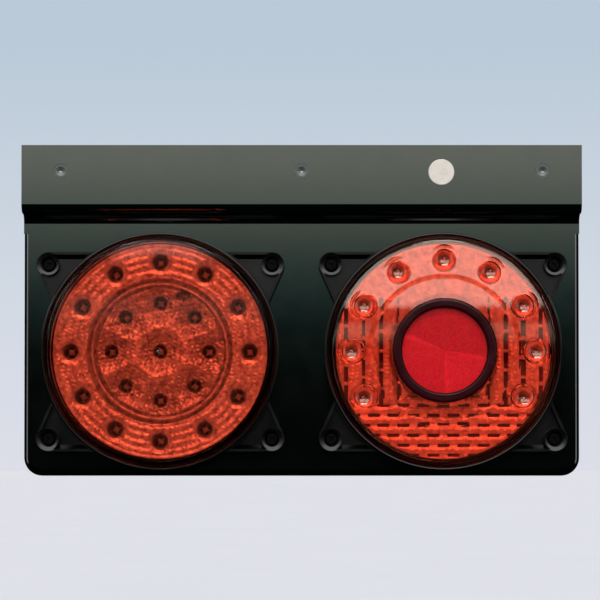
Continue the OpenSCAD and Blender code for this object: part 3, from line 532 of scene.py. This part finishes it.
def rows(u, v):
    """Height of the rows, with a wave along each and staggered slots between them."""
    row = np.round((-FLUTE_REACH - v) / ROW_H)
    from_edge = v + FLUTE_REACH + ROW_H * row
    h = FACE_Z + ROW_RISE * np.cos(2 * math.pi * (from_edge / ROW_H - 0.5)) * 0.5 + ROW_RISE / 2
    h = h + ROW_WAVE_H * np.cos(2 * math.pi * (u + ROW_WAVE_SHIFT * row) / ROW_WAVE_PITCH)
    h = h + ROW_UNEVEN * lively(u, v)
    shift = (row % 2) / 2 * SLOT_PITCH
    from_slot = np.abs((u - shift + SLOT_PITCH / 2) % SLOT_PITCH - SLOT_PITCH / 2)
    slot = (np.abs(from_edge) < SLOT_W / 2) & (from_slot < SLOT_L / 2)
    return np.where(slot, FACE_Z - GAP_DEPTH, h)


def right_height(u, v):
    below = (v < -FLUTE_REACH) | ((v < -ROWS_TOP) & (np.abs(u) < ROWS_HALF_W))
    h = np.where(below, rows(u, v), flutes(u, v))
    for cu, cv in RIGHT_CUPS:
        near = np.hypot(u - cu, v - cv)
        dish = bowl(near, RIGHT_DISH_R, RIGHT_DISH_DEPTH, RIGHT_DISH_R)
        h = np.where(near < RIGHT_DISH_R, dish, h)
    for cu, cv in RIGHT_CUPS:
        h = cup(h, np.hypot(u - cu, v - cv), RIGHT_CUP_R, FACE_Z)
    return np.where(np.hypot(u, v) > FACE_R - RIM_W, np.minimum(h, FACE_Z), h)


# Points in the right reflector's gaps and slots, away from the dishes, which get painted shade
def in_a_gap(u, v, h):
    sunk = np.abs(h - (FACE_Z - GAP_DEPTH)) < GAP_SLACK
    for cu, cv in RIGHT_CUPS:
        sunk &= np.hypot(u - cu, v - cv) > RIGHT_DISH_R
    return sunk


moulded_face("right_reflector_face", "right_reflector", "reflector_right", right_height,
             circles(RIGHT_CUPS, RIGHT_DISH_R), circles(RIGHT_CUPS, HOLE_R), in_a_gap)

# Studio light

# The world is a set of soft panels. Angles are in degrees, azimuth away from -Y to either side and
# elevation, and an edge is the pair of angles between which a panel's light rises or falls.
world = bpy.data.worlds.new("studio")
scene.world = world
world.use_nodes = True
sky = world.node_tree
sky.nodes.clear()


def rising(value, edge):
    return spread(sky, value, 0.0, 1.0, *edge, smooth=True)


def falling(value, edge):
    return calc(sky, "SUBTRACT", 1.0, rising(value, edge))


def times(a, b):
    return calc(sky, "MULTIPLY", a, b)


def panel(value, rise, fall):
    return times(rising(value, rise), falling(value, fall))


dx, dy, dz = split_axes(sky, coordinates(sky, "Generated"))
DEGREES = 180 / math.pi
azimuth = calc(sky, "ABSOLUTE", times(calc(sky, "ARCTAN2", dx, times(dy, -1.0)), DEGREES))
elevation = times(calc(sky, "ARCSINE", dz), DEGREES)
front = falling(azimuth, (34, 40))

# strength of the glow by elevation, for a curve node that takes and gives 0 to 1
GLOW = ((-2, 0.0), (1.8, 0.0), (2.8, 0.01), (3.7, 0.09), (4.8, 0.30), (5.4, 0.46), (6.2, 0.75),
        (7.5, 1.22), (9.0, 1.2), (11, 0.15), (14, 0.1), (25, 0.0), (90, 0.0))
GLOW_START, GLOW_SPAN, GLOW_TOP = -10.0, 100.0, 10.0


def glow():
    """The glow below the softbox, just above the horizon."""
    node = sky.nodes.new("ShaderNodeFloatCurve")
    curve = node.mapping.curves[0]
    places = [((angle - GLOW_START) / GLOW_SPAN, level / GLOW_TOP) for angle, level in GLOW]
    # a new curve has two points of its own
    curve.points[0].location = places[0]
    curve.points[1].location = places[1]
    for place in places[2:]:
        curve.points.new(*place)
    node.mapping.update()
    along = times(calc(sky, "ADD", elevation, -GLOW_START), 1 / GLOW_SPAN)
    sky.links.new(along, node.inputs["Value"])
    return times(node.outputs["Value"], GLOW_TOP)


# large softbox above the camera
softbox = times(panel(elevation, (13.8, 15.6), (36, 42)), front)
haze = times(glow(), times(falling(azimuth, (60, 80)), rising(elevation, (0.5, 2.5))))
side_strips = times(panel(azimuth, (46, 50), (62, 68)), panel(elevation, (-20, -12), (30, 40)))
back_light = times(rising(azimuth, (105, 125)), panel(elevation, (5, 20), (55, 75)))
top_light = rising(elevation, (45, 80))
# small key light, for the sparkle in the lamps
key_light = times(falling(azimuth, (30, 36)), panel(elevation, (44, 46), (56, 58)))
LIGHTS = ((softbox, 5.0), (haze, 1.0), (side_strips, 1.3), (back_light, 2.0), (top_light, 0.8),
          (key_light, 14.0))
EVERYWHERE = 0.002
strength = EVERYWHERE
for light, level in LIGHTS:
    strength = calc(sky, "ADD", strength, times(light, level))

# tint of the light from the front, by elevation
HUES = ((3.3, (0.2, 1.0, 0.8)), (4.4, (0.5, 1.0, 0.97)), (5.4, (0.76, 1.0, 0.82)), (7.5, (0.94, 1.0, 0.85)),
        (10.0, (0.96, 1.0, 0.93)), (14.0, (0.98, 1.0, 0.98)))
HUE_SPAN = 20
OTHER_HUE = (0.97, 1.0, 0.985, 1)
hue_stops = [(angle / HUE_SPAN, colour) for angle, colour in HUES]
hue = colour_stops(sky, times(elevation, 1 / HUE_SPAN), hue_stops)
tint = sky.nodes.new("ShaderNodeMix")
tint.data_type = "RGBA"
tint.inputs["A"].default_value = OTHER_HUE
sky.links.new(front, tint.inputs["Factor"])
sky.links.new(hue, tint.inputs["B"])
studio = sky.nodes.new("ShaderNodeBackground")
sky.links.new(tint.outputs["Result"], studio.inputs["Color"])
sky.links.new(strength, studio.inputs["Strength"])

# Backdrop, seen only directly; its tones go by height, from 0 straight down to 1 straight up
TONES = ((0.489, (0.738, 0.738, 0.791)), (0.5026, (0.708, 0.723, 0.799)), (0.531, (0.651, 0.701, 0.775)),
         (0.585, (0.497, 0.591, 0.687)), (0.75, (0.42, 0.53, 0.64)))
plain = sky.nodes.new("ShaderNodeBackground")
tone = colour_stops(sky, calc(sky, "ADD", times(dz, 0.5), 0.5), TONES)
sky.links.new(tone, plain.inputs["Color"])
either = sky.nodes.new("ShaderNodeMixShader")
seen = sky.nodes.new("ShaderNodeLightPath").outputs["Is Camera Ray"]
sky.links.new(seen, either.inputs["Fac"])
sky.links.new(studio.outputs[0], either.inputs[1])
sky.links.new(plain.outputs[0], either.inputs[2])
world_out = sky.nodes.new("ShaderNodeOutputWorld")
sky.links.new(either.outputs[0], world_out.inputs["Surface"])

# Floor, which gloss doesn't mirror, so that the plate's lower half stays dark
FLOOR_R, FLOOR_Z, FLOOR_SIDES = 40, -0.45, 64
corners = [polar(FLOOR_R, 360 * i / FLOOR_SIDES) for i in range(FLOOR_SIDES)]
floor_mesh = bpy.data.meshes.new("floor")
floor_mesh.from_pydata([(x, y, FLOOR_Z) for x, y in corners], [], [list(range(FLOOR_SIDES))])
floor_mesh.materials.append(surface(
    "floor_paper", (0.425, 0.42, 0.465), (0.44, 0.435, 0.48), (0.9, 0.95), blotch=2.0))
floor = bpy.data.objects.new("floor", floor_mesh)
scene.collection.objects.link(floor)
floor.visible_glossy = False

# Camera, straight in front and almost level
CAMERA_PLACE, CAMERA_TILT = (-0.001, -1.4, -0.17), 91.2
FOCAL_LENGTH, SENSOR_W, SHIFT_UP = 140.24, 36, 0.1763
cam_data = bpy.data.cameras.new("camera")
cam_data.lens = FOCAL_LENGTH
cam_data.sensor_width = SENSOR_W
cam_data.shift_y = SHIFT_UP
cam = bpy.data.objects.new("camera", cam_data)
scene.collection.objects.link(cam)
cam.location = CAMERA_PLACE
cam.rotation_euler = (math.radians(CAMERA_TILT), 0, 0)
scene.camera = cam
scene.view_settings.view_transform = "Standard"
scene.view_settings.look = "None"
